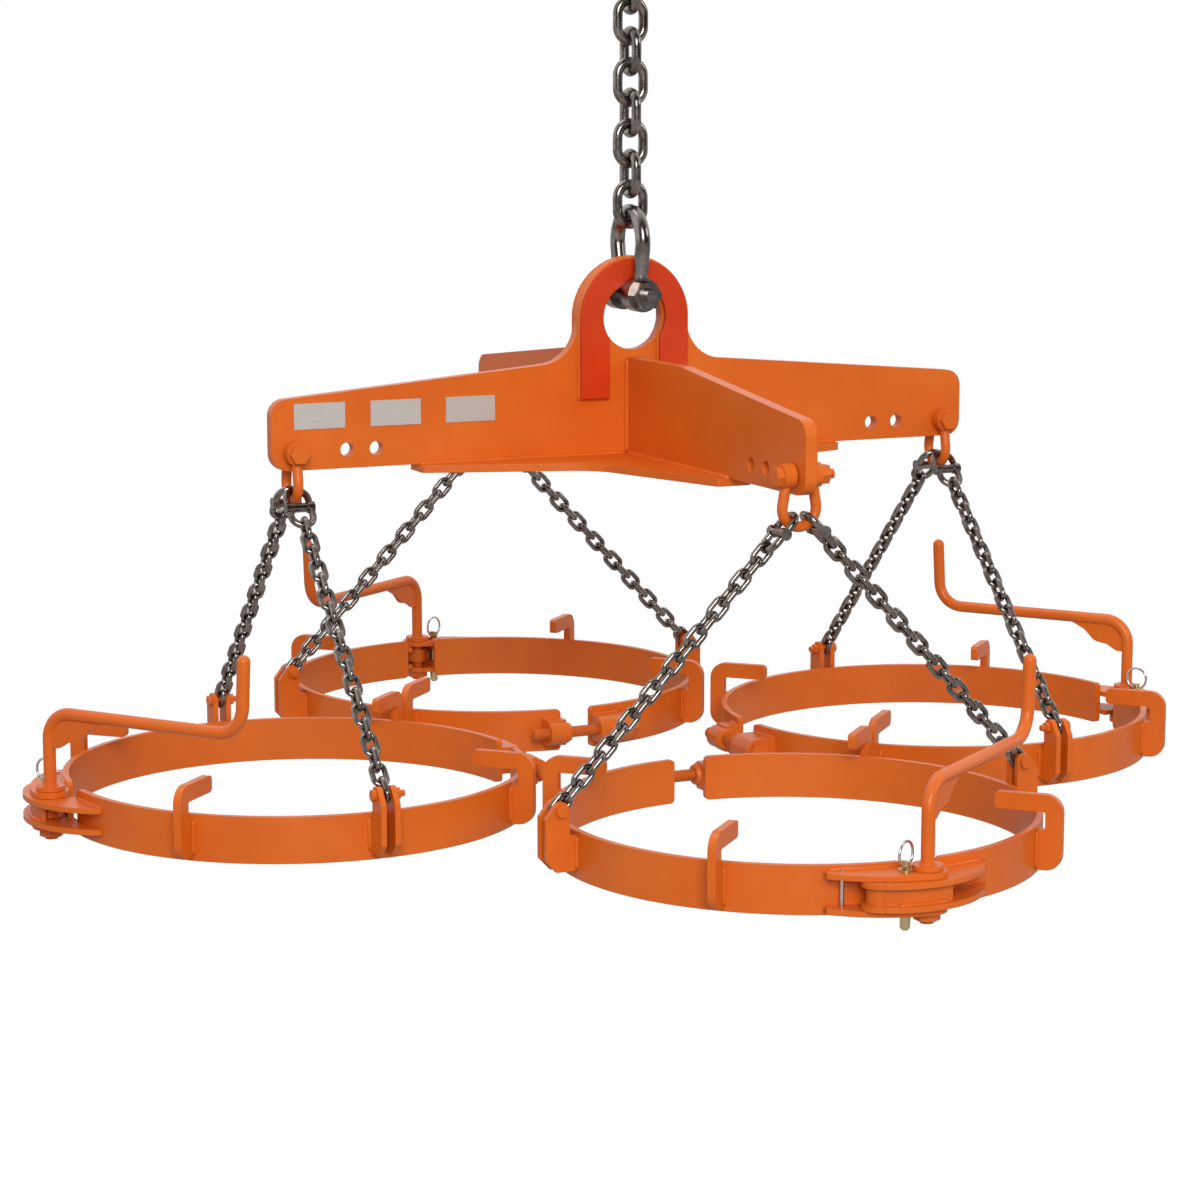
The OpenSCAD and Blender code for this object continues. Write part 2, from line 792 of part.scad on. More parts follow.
module lock_pin(q) {
  top = lever_top + seat + lock_flange_h;
  color(zinc) clamp(q) translate([lock_at[0], lock_at[1], 0]) rotate([0, 0, lock_ring_turn]) {
    translate([0, 0, lock_cone - lever_top - lock_tip]) {
      cylinder(h = 2 * lever_top + lock_tip - lock_cone + seat, d = lock_d);
    }
    translate([0, 0, -lever_top - lock_tip]) cylinder(h = lock_cone, d1 = lock_end_d, d2 = lock_d);
    translate([0, 0, lever_top + seat]) cylinder(h = lock_flange_h, r = lock_flange_r);
    difference() {
      intersection() {
        translate([0, 0, top]) cylinder(h = lock_tab_h, d = lock_d);
        translate([-lock_d, -lock_tab / 2, top]) cube([2 * lock_d, lock_tab, lock_tab_h]);
      }
      translate([0, 0, lock_hole_up]) rotate([90, 0, 0])
        cylinder(h = 2 * lock_d, r = lock_hole_r, center = true);
    }
  }
}

// The ring stands upright in the pin's cross hole
module lock_ring(q) {
  color(zinc) clamp(q) translate([lock_at[0], lock_at[1], lock_hole_up + lock_ring_r])
    rotate([0, 0, lock_ring_turn]) rotate([0, 90, 0])
      rotate_extrude() translate([lock_ring_r, 0]) circle(lock_wire_r);
}

// The hole for the adjuster bolt
module adjuster_bore() {
  translate([adjust_out, 0, 0]) rotate([90, 0, 0]) {
    cylinder(h = 4 * band_gap, r = adjust_r + run, center = true);
  }
}

// A short threaded barrel on one band end and a longer plain tube on the other, each on a saddle
module adjuster_sleeves(q) {
  color(paint) clamp(q) rotate([0, 0, 180]) {
    difference() {
      union() {
        translate([adjust_out, sleeve_from, 0]) rotate([-90, 0, 0]) {
          cylinder(h = sleeve_to - sleeve_from - sleeve_chamfer, r = sleeve_r);
          translate([0, 0, sleeve_to - sleeve_from - sleeve_chamfer])
            cylinder(h = sleeve_chamfer, r1 = sleeve_r, r2 = sleeve_r - sleeve_chamfer / 2);
        }
        translate([ring_r, sleeve_from, -saddle_h / 2])
          cube([adjust_out - ring_r, -band_gap / 2 - saddle_clear - sleeve_from, saddle_h]);
      }
      cylinder(h = band_h, r = band_r + seat, center = true, $fn = 96);
      adjuster_bore();
    }
    difference() {
      union() {
        translate([adjust_out, tube_from, 0]) rotate([-90, 0, 0]) {
          cylinder(h = tube_to - tube_from, r = tube_r);
        }
        translate([ring_r - saddle_in, tube_from, -saddle_h / 2])
          cube([adjust_out - ring_r + saddle_in, tube_to - tube_from, saddle_h]);
      }
      cylinder(h = band_h, r = band_r + seat, center = true, $fn = 96);
      adjuster_bore();
    }
  }
}

module adjuster_bolt(q) {
  shank = tube_to + hang - adjust_from;
  color(paint) clamp(q) rotate([0, 0, 180]) translate([adjust_out, adjust_from, 0]) rotate([-90, 0, 0]) {
    cylinder(h = adjust_chamfer, r1 = adjust_r - adjust_chamfer, r2 = adjust_r);
    translate([0, 0, adjust_chamfer]) cylinder(h = shank - adjust_chamfer, r = adjust_r);
    translate([0, 0, shank]) hex(adjust_head_af, adjust_head_h);
  }
}

master_link();
top_chain();
master_shackle();
main_beam();
cross_wings();
base_plate();
eye_cheeks();
rating_plates();
for (q = [0:3]) {
  shackle(q);
  chain_sling(q);
  ring_bands(q);
  rim_hooks(q);
  chain_lugs(q);
  ring_fasteners(q);
  lever_plates(q);
  claw(q);
  adjuster_sleeves(q);
  adjuster_bolt(q);
  crank_handle(q);
  lock_pin(q);
  lock_ring(q);
}
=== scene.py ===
# %% [markdown]
# # A drum lifter, dressed and lit
# The lifter hangs from a crane by a chain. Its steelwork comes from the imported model, and every
# plate, chain and ring of it is already in place here. This lesson adds what the solids leave out:
# the weld beads that join the plates, the paint and the forged steel, the camera and the light.

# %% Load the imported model
import math

import bmesh
import bpy
from mathutils import Matrix, Vector


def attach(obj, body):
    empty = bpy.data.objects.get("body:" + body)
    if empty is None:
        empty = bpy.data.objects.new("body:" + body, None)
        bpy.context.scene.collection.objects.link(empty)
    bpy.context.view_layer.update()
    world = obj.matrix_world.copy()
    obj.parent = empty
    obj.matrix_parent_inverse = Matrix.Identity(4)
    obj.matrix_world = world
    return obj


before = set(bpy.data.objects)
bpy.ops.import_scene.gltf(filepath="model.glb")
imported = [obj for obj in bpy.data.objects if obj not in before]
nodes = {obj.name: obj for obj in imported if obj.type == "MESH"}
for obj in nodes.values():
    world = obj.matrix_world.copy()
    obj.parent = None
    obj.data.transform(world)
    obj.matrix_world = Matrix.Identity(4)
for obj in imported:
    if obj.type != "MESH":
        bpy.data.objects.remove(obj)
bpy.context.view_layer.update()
scene = bpy.context.scene
SIDES = ["right", "rear", "left", "front"]

# %% [markdown]
# ## The camera
# The photograph looks slightly down from the front left, from about four metres, with a long lens
# that keeps the near and far rings close in size. A camera could be turned by hand until the picture
# looks right. Here its place and lens were found by matching bolts and holes in the picture to the
# same points of the model, which is exact enough to compare the two edge by edge.

# %% Place the camera
EYE = Vector((-1.79061, -3.78382, -0.26458))
BACK = Vector((-0.413359, -0.895511, 0.164907))  # from the lifter towards the camera
lens_data = bpy.data.cameras.new("photo_camera")
lens_data.lens = 94.293
lens_data.sensor_width = 36.0
lens_data.clip_start = 0.1
lens_data.clip_end = 60.0
camera = bpy.data.objects.new("photo_camera", lens_data)
camera.location = EYE
camera.rotation_mode = "QUATERNION"
camera.rotation_quaternion = (-BACK).to_track_quat("-Z", "Y")
scene.collection.objects.link(camera)
scene.camera = camera
print("camera at", tuple(round(v, 3) for v in EYE), "with a", lens_data.lens, "mm lens")

# %% [markdown]
# ## Colours and nodes
# A colour picked from a screen is sRGB, and Blender's shaders work in linear light, so one function
# turns a hex value into linear numbers. A second one adds a shader node, sets its values and joins
# its inputs. Nodes could be laid out by hand in the shader editor, but written down they can be read
# from top to bottom. All the finishes below are written with those two.


# %% Helpers for finishes
def linear(code):
    """An sRGB hex colour as linear red, green, blue and alpha."""
    out = []
    for i in (0, 2, 4):
        c = int(code[i : i + 2], 16) / 255
        out.append(c / 12.92 if c <= 0.04045 else ((c + 0.055) / 1.055) ** 2.4)
    return (*out, 1.0)


def put(tree, kind, values=None, links=None, **settings):
    """Adds a node with its settings, values and links. A node as a link gives its first output."""
    made = tree.nodes.new(kind)
    for name, value in settings.items():
        setattr(made, name, value)
    for name, value in (values or {}).items():
        made.inputs[name].default_value = value
    for name, source in (links or {}).items():
        socket = source.outputs[0] if isinstance(source, bpy.types.Node) else source
        tree.links.new(socket, made.inputs[name])
    return made


def finish(name):
    """A new material and its node tree, still empty."""
    made = bpy.data.materials.new(name)
    made.use_nodes = True
    made.node_tree.nodes.clear()
    return made, made.node_tree


def set_stops(tone, *stops):
    """Gives a colour ramp its positions and hex colours."""
    for element, (position, code) in zip(tone.color_ramp.elements, stops):
        element.position = position
        element.color = linear(code)


print("orange enamel in linear light:", [round(c, 3) for c in linear("DC6A1A")])

# %% [markdown]
# ## A painted highlight at an edge, and a thread
# Wet enamel draws back from sharp edges, so they dry rounded. The paler colour along them is a
# painted highlight, where the edges catch the light. The edges could be bevelled in the mesh, but
# the solids stay as they are here, and the Bevel node finds the edges while it renders. The adjuster
# bolts are painted over their thread. A modelled thread would take thousands of faces for a relief
# of less than a millimetre, so a wave along the bolt draws its turns.

# %% Painted highlight at an edge, and a thread
EDGE = 0.0012  # width of the rounded edge and of its painted highlight, in metres
PITCH = 0.002  # one turn of the adjuster bolts' thread
WAVE = 0.314  # length of one wave of the Wave texture at scale 1


def round_edge_and_painted_highlight(tree, here, colour, edge):
    """The colour with a painted edge highlight, and the node with the rounded edge's normal."""
    soft = put(tree, "ShaderNodeBevel", {"Radius": EDGE}, samples=4)
    flat = put(tree, "ShaderNodeNewGeometry").outputs["Normal"]
    turn = put(tree, "ShaderNodeVectorMath", None, {0: soft, 1: flat}, operation="DOT_PRODUCT")
    fade = {"From Min": 0.80, "From Max": 0.99, "To Min": 1.0, "To Max": 0.0}
    rim = put(tree, "ShaderNodeMapRange", fade, {"Value": turn.outputs["Value"]})
    # the painted edge highlight is broken into patches about 18 mm long
    patch = put(tree, "ShaderNodeTexNoise", {"Scale": 1 / 0.018, "Detail": 2.0}, here)
    painted_edge_highlight = put(tree, "ShaderNodeMath", None, {0: rim, 1: patch}, operation="MULTIPLY")
    pair = {0: painted_edge_highlight, 6: colour}
    # the paler edge colour mixed in here is a painted highlight
    mixed = put(tree, "ShaderNodeMix", {7: linear(edge)}, pair, data_type="RGBA")
    return mixed.outputs[2], soft


def threaded(tree, here, axis):
    """The node with the normal of a thread along one axis, one wave for each turn."""
    turns = put(tree, "ShaderNodeTexWave", {"Scale": WAVE / PITCH}, here, bands_direction=axis)
    depth = {"Strength": 0.8, "Distance": 0.0009}
    return put(tree, "ShaderNodeBump", depth, {"Height": turns.outputs["Fac"]})


print("edges", EDGE * 1000, "mm wide, and a thread turn every", PITCH * 1000, "mm")

# %% [markdown]
# ## Enamels
# The steelwork is sprayed with a thick semi-gloss enamel, which dries with a fine orange peel and a
# little cloudiness where the coat is thicker. An even colour would look like plastic, so noise at
# these two sizes moves the colour, the gloss and the surface a little. Paint from one spray gun looks
# alike, so one recipe makes every enamel: the orange one, the redder one of the cheek plates beside
# the eye, and the coats on the weld beads and on the threads.


# %% Make the enamels
def enamel(name, light, dark, rough, edge=None, thread=None):
    """Paint of two colours, with a painted edge highlight or a thread's axis where it needs them."""
    mat, tree = finish(name)
    here = {"Vector": put(tree, "ShaderNodeTexCoord").outputs["Object"]}
    # clouds about 140 mm across, where the coat is thicker or thinner
    clouds = {"Scale": 1 / 0.14, "Detail": 3.0, "Roughness": 0.55}
    cloud = put(tree, "ShaderNodeTexNoise", clouds, here)
    colour, under = put(tree, "ShaderNodeValToRGB", None, {"Fac": cloud}), {}
    set_stops(colour, (0.35, dark), (0.68, light))
    # edge is the colour of a painted highlight along the edges
    if edge:
        colour, under["Normal"] = round_edge_and_painted_highlight(tree, here, colour, edge)
    if thread:
        under["Normal"] = threaded(tree, here, thread)
    # orange peel: dimples about 3 mm across, on a slow waviness of 25 mm
    peel = put(tree, "ShaderNodeTexNoise", {"Scale": 1 / 0.003, "Detail": 1.0}, here)
    wave = put(tree, "ShaderNodeTexNoise", {"Scale": 1 / 0.025, "Detail": 1.0}, here)
    relief = put(tree, "ShaderNodeMath", {1: 0.25}, {0: peel, 2: wave}, operation="MULTIPLY_ADD")
    depth = {"Strength": 0.12, "Distance": 0.0008}
    bump = put(tree, "ShaderNodeBump", depth, {"Height": relief, **under})
    sheen = {"To Min": rough - 0.06, "To Max": rough + 0.10}
    gloss = put(tree, "ShaderNodeMapRange", sheen, {"Value": cloud})
    inputs = {"Base Color": colour, "Roughness": gloss, "Normal": bump}
    values = {"IOR": 1.45, "Specular IOR Level": 0.45}
    shader = put(tree, "ShaderNodeBsdfPrincipled", values, inputs)
    put(tree, "ShaderNodeOutputMaterial", None, {"Surface": shader})
    return mat


# sprayed plate: a broad soft highlight, and painted highlight lines along the edges
orange_enamel = enamel("orange_enamel_on_steel", "DC6A1A", "D46014", 0.34, edge="E07C36")
# a thick coat over rough weld metal: small bright glints on the ripples
bead_enamel = enamel("orange_enamel_on_weld_metal", "DA6818", "D25E12", 0.30)
# the cheeks' coat: a redder and glossier patch round the eye, with painted highlight edges
red_enamel = enamel("red_orange_enamel_on_steel", "D04010", "C8360C", 0.30, edge="DC5A2C")
# paint in a thread: fine dark and light rings round the bolt
thread_enamel = {
    axis: enamel("orange_enamel_on_thread_" + axis, "DA6818", "D25E12", 0.34, thread=axis)
    for axis in "XY"
}
print("made", orange_enamel.name, bead_enamel.name, red_enamel.name)
print("made", len(thread_enamel), "thread enamels")

# %% [markdown]
# ## Forged chain steel
# Chain and shackle are hardened alloy steel with a thin dark scale from the furnace. The scale is
# brownish grey, and smoother and brighter where links rub. It could be drawn as a dark paint, but a
# metal shows mostly what it reflects: dark links with a bright line along each round. So it is a full
# metal, and its pattern changes the roughness as well as the colour.


# %% Make the chain steel
def furnace_steel(name, light, dark, rough):
    """Forged steel with patches of furnace scale in two colours."""
    mat, tree = finish(name)
    here = {"Vector": put(tree, "ShaderNodeTexCoord").outputs["Object"]}
    # scale patches about 14 mm across, with a fine grain of 1.2 mm over them
    patches = {"Scale": 1 / 0.014, "Detail": 3.0, "Roughness": 0.5}
    scale = put(tree, "ShaderNodeTexNoise", patches, here)
    grain = put(tree, "ShaderNodeTexNoise", {"Scale": 1 / 0.0012, "Detail": 2.0}, here)
    tone = put(tree, "ShaderNodeValToRGB", None, {"Fac": scale})
    set_stops(tone, (0.38, dark), (0.64, light))
    sheen = {"To Min": rough - 0.06, "To Max": rough + 0.10}
    gloss = put(tree, "ShaderNodeMapRange", sheen, {"Value": scale})
    depth = {"Strength": 0.04, "Distance": 0.0003}
    bump = put(tree, "ShaderNodeBump", depth, {"Height": grain})
    inputs = {"Base Color": tone, "Roughness": gloss, "Normal": bump}
    shader = put(tree, "ShaderNodeBsdfPrincipled", {"Metallic": 1.0}, inputs)
    put(tree, "ShaderNodeOutputMaterial", None, {"Surface": shader})
    return mat


# scaled steel: dark links, with a bright line along each round
chain_steel = furnace_steel("furnace_scaled_alloy_steel", "9A938E", "787069", 0.20)
print("made", chain_steel.name)

# %% [markdown]
# ## Plated pins and brushed plates
# The lock pins are zinc plated and yellow passivated, which gives a pale gold. Their rings and the
# stop pins are plain zinc. The rating plates are thin brushed sheet. An anisotropic shader could
# draw the brushing, but its streaks would vanish in even light. A noise that is stretched along the
# arm, as the brushing runs, shows from every side.


# %% Make the plated and brushed metals
def plated(name, light, dark, rough, stretch):
    """Plated or brushed metal, with streaks between two colours."""
    mat, tree = finish(name)
    here = {"Vector": put(tree, "ShaderNodeTexCoord").outputs["Object"]}
    laid = {"Vector": put(tree, "ShaderNodeMapping", {"Scale": stretch}, here)}
    # streaks 0.8 mm wide, drawn coarser than real brushing so that they show
    streak = put(tree, "ShaderNodeTexNoise", {"Scale": 1 / 0.0008, "Detail": 3.0}, laid)
    colours = {6: linear(dark), 7: linear(light)}
    tone = put(tree, "ShaderNodeMix", colours, {0: streak}, data_type="RGBA")
    sheen = {"To Min": rough - 0.08, "To Max": rough + 0.12}
    gloss = put(tree, "ShaderNodeMapRange", sheen, {"Value": streak})
    depth = {"Strength": 0.08, "Distance": 0.0002}
    bump = put(tree, "ShaderNodeBump", depth, {"Height": streak})
    inputs = {"Base Color": tone.outputs[2], "Roughness": gloss, "Normal": bump}
    shader = put(tree, "ShaderNodeBsdfPrincipled", {"Metallic": 1.0}, inputs)
    put(tree, "ShaderNodeOutputMaterial", None, {"Surface": shader})
    return mat


EVEN = (1, 1, 1)
BRUSHED = (0.03, 1, 1)  # streaks about thirty times as long as wide
# passivated zinc: a soft, pale gold shine
gold_zinc = plated("yellow_passivated_zinc", "DCCB9C", "C4B07C", 0.28, EVEN)
# plain zinc: a cold, nearly white shine
clear_zinc = plated("clear_zinc_plate", "DADAD8", "C2C2C2", 0.26, EVEN)
# brushed sheet: light grey and almost matt
brushed_plate = plated("brushed_aluminium_sheet", "E6E2DC", "D2CEC8", 0.58, BRUSHED)
print("made", gold_zinc.name, clear_zinc.name, brushed_plate.name)

# %% [markdown]
# ## Who wears what
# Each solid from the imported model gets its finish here. The finishes could be given one by one, but
# a solid's name starts with what it is, and only then names its arm, so a list of first words is
# enough for all sixty. What isn't in the list is painted orange, as most of the lifter is.

# %% Hand out the finishes
FINISH = {
    "master_link": chain_steel,
    "top_chain": chain_steel,
    "master_shackle": chain_steel,
    "chain_sling": chain_steel,
    "eye_cheeks": red_enamel,
    "rating_plates": brushed_plate,
    "lock_pin": gold_zinc,
    "lock_ring": clear_zinc,
}
for name, solid in nodes.items():
    stem = next((s for s in FINISH if name.startswith(s)), None)
    solid.data.materials.clear()
    solid.data.materials.append(FINISH[stem] if stem else orange_enamel)
print("dressed", len(nodes), "solids")

# %% [markdown]
# ## Two finishes on one solid
# The stop pin is plated, but it shares a solid with the painted lug bolts. An adjuster bolt has a
# thread up to its head, and the head is smooth. These faces could be cut off as pieces of their own,
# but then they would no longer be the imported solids, so only their material number changes. They are
# found by where they are: the stop pin is the only fastener near the latch, and a bolt's head lies
# past the end of its tube.

# %% Dress the stop pins and the threads
ARM = 0.477  # from the lifter's middle to the middle of a ring
RING_Z = -1.17505  # height of the rings' middle
STOP_PIN = (0.29113, -0.09741)  # outwards and counter-clockwise from a ring's centre
PIN_NEAR = 0.006  # more than the stop pin's radius
BOLT_OUT = -0.3185  # the adjuster bolt lies on the side towards the lifter's middle
HEAD_AT = -0.0743  # where its head starts, counter-clockwise
SLIVER = 0.0005  # keeps the face under the head with the head


def at_ring(q, out, round_, up):
    """A point of ring q, given outwards, counter-clockwise and upwards from the ring's centre."""
    point = Vector((ARM + out, round_, RING_Z + up))
    return Matrix.Rotation(math.radians(90 * q), 3, "Z") @ point


for q, side in enumerate(SIDES):
    fasteners = nodes["ring_fasteners_" + side].data
    fasteners.materials.append(clear_zinc)
    pin_at = at_ring(q, *STOP_PIN, 0)
    for face in fasteners.polygons:
        if (face.center.xy - pin_at.xy).length < PIN_NEAR:
            face.material_index = 1
    bolt = nodes["adjuster_bolt_" + side].data
    bolt.materials.append(thread_enamel["XY"[(q + 1) % 2]])
    head_at = at_ring(q, BOLT_OUT, HEAD_AT, 0)
    to_head = (head_at - at_ring(q, BOLT_OUT, 0, 0)).normalized()
    for face in bolt.polygons:
        face.material_index = int((face.center - head_at).dot(to_head) < -SLIVER)
print("stop pins and threads dressed on", len(SIDES), "rings")

# %% [markdown]
# ## Weld beads
# The plates are welded, and a weld is a rounded bead with a ripple for every drop of metal. It could
# be a curve with a round profile, but that would be as smooth as a wire. Here each bead starts as a
# small capped circle. Its cap is extruded a few millimetres at a time along the joint, turned to
# follow it, and scaled in and out, which gives every drop its own ripple in one closed mesh.

# %% A helper that lays a bead
DROP = 0.005  # length of a weld drop, in metres
CREST, DIP, TIP = 1.02, 0.96, 0.75  # the bead's radius on a ripple, between two and at its ends


def along(*corners):
    """Points about one weld drop apart on straight lines between corners."""
    out = [Vector(corners[0])]
    for a, b in zip(corners, corners[1:]):
        a, b = Vector(a), Vector(b)
        steps = max(1, round((b - a).length / DROP))
        out += [a.lerp(b, i / steps) for i in range(1, steps + 1)]
    return out


def lay_bead(mesh, path, radius):
    """Extrudes a capped circle along a path of points, with a ripple at each point."""
    way = (path[1] - path[0]).normalized()
    place = Matrix.Translation(path[0]) @ way.to_track_quat("Z", "Y").to_matrix().to_4x4()
    thin = radius * TIP
    ring = bmesh.ops.create_circle(mesh, cap_ends=True, segments=12, radius=thin, matrix=place)
    cap = ring["verts"][0].link_faces[0]
    last = len(path) - 1
    for i in range(1, len(path)):
        grown = bmesh.ops.extrude_face_region(mesh, geom=[cap])
        if i > 1:
            # the first cap closes the bead's start, and each later one would stay inside it
            bmesh.ops.delete(mesh, geom=[cap], context="FACES_ONLY")
        cap = next(g for g in grown["geom"] if isinstance(g, bmesh.types.BMFace))
        verts = list(cap.verts)
        bmesh.ops.translate(mesh, verts=verts, vec=path[i] - path[i - 1])
        ahead = (path[min(i + 1, last)] - path[i - 1]).normalized()
        turn = way.rotation_difference(ahead).to_matrix()
        bmesh.ops.rotate(mesh, verts=verts, cent=path[i], matrix=turn)
        way = ahead
        wanted = radius * (TIP if i == last else CREST if i % 2 else DIP)
        size = wanted / (verts[0].co - path[i]).length
        for v in verts:
            v.co = path[i] + (v.co - path[i]) * size


print("a weld drop is", DROP * 1000, "mm long")

# %% [markdown]
# ## A group of beads
# Each bead could be an object, but there are more than a hundred. The beads that lie on one body
# become one object instead, which rides on that body and moves with it.


# %% A helper that makes a group of beads
def weld(name, body, paths, radius):
    """One object for a group of beads, riding on a body."""
    mesh = bmesh.new()
    for path in paths:
        lay_bead(mesh, path, radius)
    bmesh.ops.recalc_face_normals(mesh, faces=mesh.faces[:])
    data = bpy.data.meshes.new(name)
    mesh.to_mesh(data)
    mesh.free()
    data.shade_smooth()
    made = bpy.data.objects.new(name, data)
    scene.collection.objects.link(made)
    data.materials.append(bead_enamel)
    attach(made, body)
    return made


print("beads are painted with", bead_enamel.name)

# %% [markdown]
# ## Welds of the beam
# The two wings stand against the main plate, and the star plate closes the cross from below, with a
# short bead across the end of each of its arms. These joints are straight, so a bead needs only its
# two ends. The cross has four alike corners, so a loop over their signs lays all the beads.

# %% Weld the beam
LOW = -0.76305  # height of the beam's lower edge
HALF = 0.008  # half the thickness of a beam plate
STAR = 0.307  # reach of the star plate's arms
UPRIGHT = (LOW + 0.002, LOW + 0.126)  # where the wings' upright beads start and end
FLAT = (0.012, 0.306)  # where the beads along the star plate start and end
ACROSS = 0.007  # half the length of the beads across the star's ends
beads = []
for sx in (-1, 1):
    for sy in (-1, 1):
        x, y = sx * HALF, sy * HALF
        beads.append(along(*[(x, y, z) for z in UPRIGHT]))
        beads.append(along(*[(sx * r, y, LOW) for r in FLAT]))
        beads.append(along(*[(x, sy * r, LOW) for r in FLAT]))
for end in (-STAR, STAR):
    beads.append(along((end, -ACROSS, LOW), (end, ACROSS, LOW)))
    beads.append(along((-ACROSS, end, LOW), (ACROSS, end, LOW)))
beam_welds = weld("beam_welds", "beam", beads, radius=0.0038)
print("beam welds have", len(beam_welds.data.polygons), "faces")

# %% [markdown]
# ## Welds of the cheeks
# A cheek plate thickens the lug on each side of the eye, and a bead runs down the inside of its leg,
# round its foot, over the arch and down the other leg. The arch and the legs could have beads of
# their own, but their ends would show, so each cheek has one path.

# %% Weld the cheeks
EYE_UP = LOW + 0.181  # height of the lifting eye's middle
CHEEK = 0.078  # half the width of a cheek plate, and its arch's radius
SLOT = 0.037  # half the width of the slot between its legs
FOOT = LOW + 0.075  # height of the legs' ends
INSIDE = LOW + 0.155  # height where the bead starts on the inside of a leg
turns = [math.radians(180 * i / 48) for i in range(49)]
edges = []
for y in (-HALF, HALF):
    arch = [Vector((CHEEK * math.cos(a), y, EYE_UP + CHEEK * math.sin(a))) for a in turns]
    right = along((SLOT, y, INSIDE), (SLOT, y, FOOT), (CHEEK, y, FOOT), arch[0])
    left = along(arch[-1], (-CHEEK, y, FOOT), (-SLOT, y, FOOT), (-SLOT, y, INSIDE))
    edges.append(right + arch[1:-1] + left)
cheek_welds = weld("cheek_welds", "beam", edges, radius=0.003)
print("cheek welds have", len(cheek_welds.data.polygons), "faces")

# %% [markdown]
# ## Paths round a ring
# What is welded to a ring stands on the outside of its round band. The beads could be modelled on
# one side of a ring and turned into place, but every other place on a ring is already given by
# at_ring. So the paths are worked out as angles and heights, and at_ring puts them where they belong.

# %% Helpers for paths round a ring
BAND = 0.300  # outer radius of the band
CLAW = Vector((0.234, -0.014))  # centre of the claw's web, from the ring's centre
WEB = 0.112  # radius of the web's outer face


def on_band(q, az, up, off=0.0):
    """A point on the band's outer face at an angle, moved sideways along the tangent."""
    a = math.radians(az)
    out = BAND * math.cos(a) - off * math.sin(a)
    return at_ring(q, out, BAND * math.sin(a) + off * math.cos(a), up)


def round_band(q, az0, az1, up):
    """Points one weld drop apart round the band's outer face."""
    steps = round(abs(math.radians(az1 - az0)) * BAND / DROP)
    return [on_band(q, az0 + (az1 - az0) * i / steps, up) for i in range(steps + 1)]


def round_web(q, a0, a1, up):
    """Points one weld drop apart round the claw's web, by the angle about the web's own centre."""
    steps = round(abs(math.radians(a1 - a0)) * WEB / DROP)
    angles = [math.radians(a0 + (a1 - a0) * i / steps) for i in range(steps + 1)]
    return [at_ring(q, CLAW.x + WEB * math.cos(a), CLAW.y + WEB * math.sin(a), up) for a in angles]


print("the band's outer face has a radius of", BAND * 1000, "mm")

# %% [markdown]
# ## Welds of the rings
# Hooks, chain lugs, latch plates and adjuster sleeves are all welded to the outside of the band, and
# the claw's curved web is welded between its two plates. The beads could be drawn one by one. Most
# of them come in pairs, on both sides of a plate or above and below the band's middle, so a short
# list of angles in degrees and distances in metres, and a sign, give them all.

# %% Weld the rings
# upright beads on both sides of a plate: angles, half the plate's width, bottom and top
UPRIGHTS = [
    ((45, 135, 225, 315), 0.005, -0.022, 0.022),  # rim hooks
    ((90, 270), 0.0125, -0.017, 0.022),  # chain lugs
]
# beads round the band: from and to an angle, and the height above and below its middle
ROUNDS = [
    (-21.5, -5.5, 0.024),  # lever plates
    (5.0, 17.0, 0.0169),  # claw plates
    (170.6, 175.2, 0.0179),  # adjuster barrel
    (185.0, 193.6, 0.0179),  # adjuster tube
]
LEVER_END = (-22.05, 0.0175, 0.0235)  # a short upright bead: angle, bottom and top
WEB_BEAD = (-20.0, 12.0, 0.0101)  # round the claw's web: from and to an angle, and the height
for q, side in enumerate(SIDES):
    beads = []
    for s in (-1, 1):
        for angles, half, low, top in UPRIGHTS:
            for az in angles:
                beads.append(along(on_band(q, az, low, s * half), on_band(q, az, top, s * half)))
        for az0, az1, up in ROUNDS:
            beads.append(round_band(q, az0, az1, s * up))
        az, low, top = LEVER_END
        beads.append(along(on_band(q, az, s * low), on_band(q, az, s * top)))
        a0, a1, up = WEB_BEAD
        beads.append(round_web(q, a0, a1, s * up))
    ring_welds = weld("ring_welds_" + side, "ring_" + side, beads, radius=0.0028)
print("each ring's welds have", len(ring_welds.data.polygons), "faces")

# %% [markdown]
# ## Welds of the cranks
# The crank's rod stands in a thick collar, with one bead round its foot. A torus would do, but it
# would be smooth, so the bead is laid like the others, on a circle of points.

# %% Weld the cranks
ROD = Vector((0.3245, -0.006))  # middle of the rod, from the ring's centre
ROD_R = 0.008
COLLAR_TOP = 0.0303  # over the ring's middle
turns = [math.radians(12 * i) for i in range(31)]
circle = [(ROD.x + ROD_R * math.cos(a), ROD.y + ROD_R * math.sin(a)) for a in turns]
for q, side in enumerate(SIDES):
    foot = [at_ring(q, *place, COLLAR_TOP) for place in circle]
    crank_welds = weld("crank_welds_" + side, "crank_" + side, [foot], radius=0.002)
print("each crank's weld has", len(crank_welds.data.polygons), "faces")

# %% [markdown]
# ## Floor
# The lifter hangs free, so its floor is well below it. One large flat grid is enough.

# %% Lay the floor
FLOOR_Z = -2.1
FLOOR_SIZE = 30.0
floor_mesh = bmesh.new()
down = Matrix.Translation((0, 0, FLOOR_Z))
bmesh.ops.create_grid(floor_mesh, x_segments=2, y_segments=2, size=FLOOR_SIZE, matrix=down)
floor_data = bpy.data.meshes.new("floor")
floor_mesh.to_mesh(floor_data)
floor_mesh.free()
floor = bpy.data.objects.new("floor", floor_data)
scene.collection.objects.link(floor)
print("floor at", FLOOR_Z, "m")

# %% [markdown]
# ## Floor paint
# The photograph's background is plain white. More lamps could bleach the floor, but they would
# bleach the paint as well. So the Light Path node makes the floor white where the camera looks at
# it, and leaves a small part of its own shading, where the lifter's soft shadow falls. In a
# reflection less of it is white, and as a source of light it is grey, which keeps the undersides of
# links and plates dark.

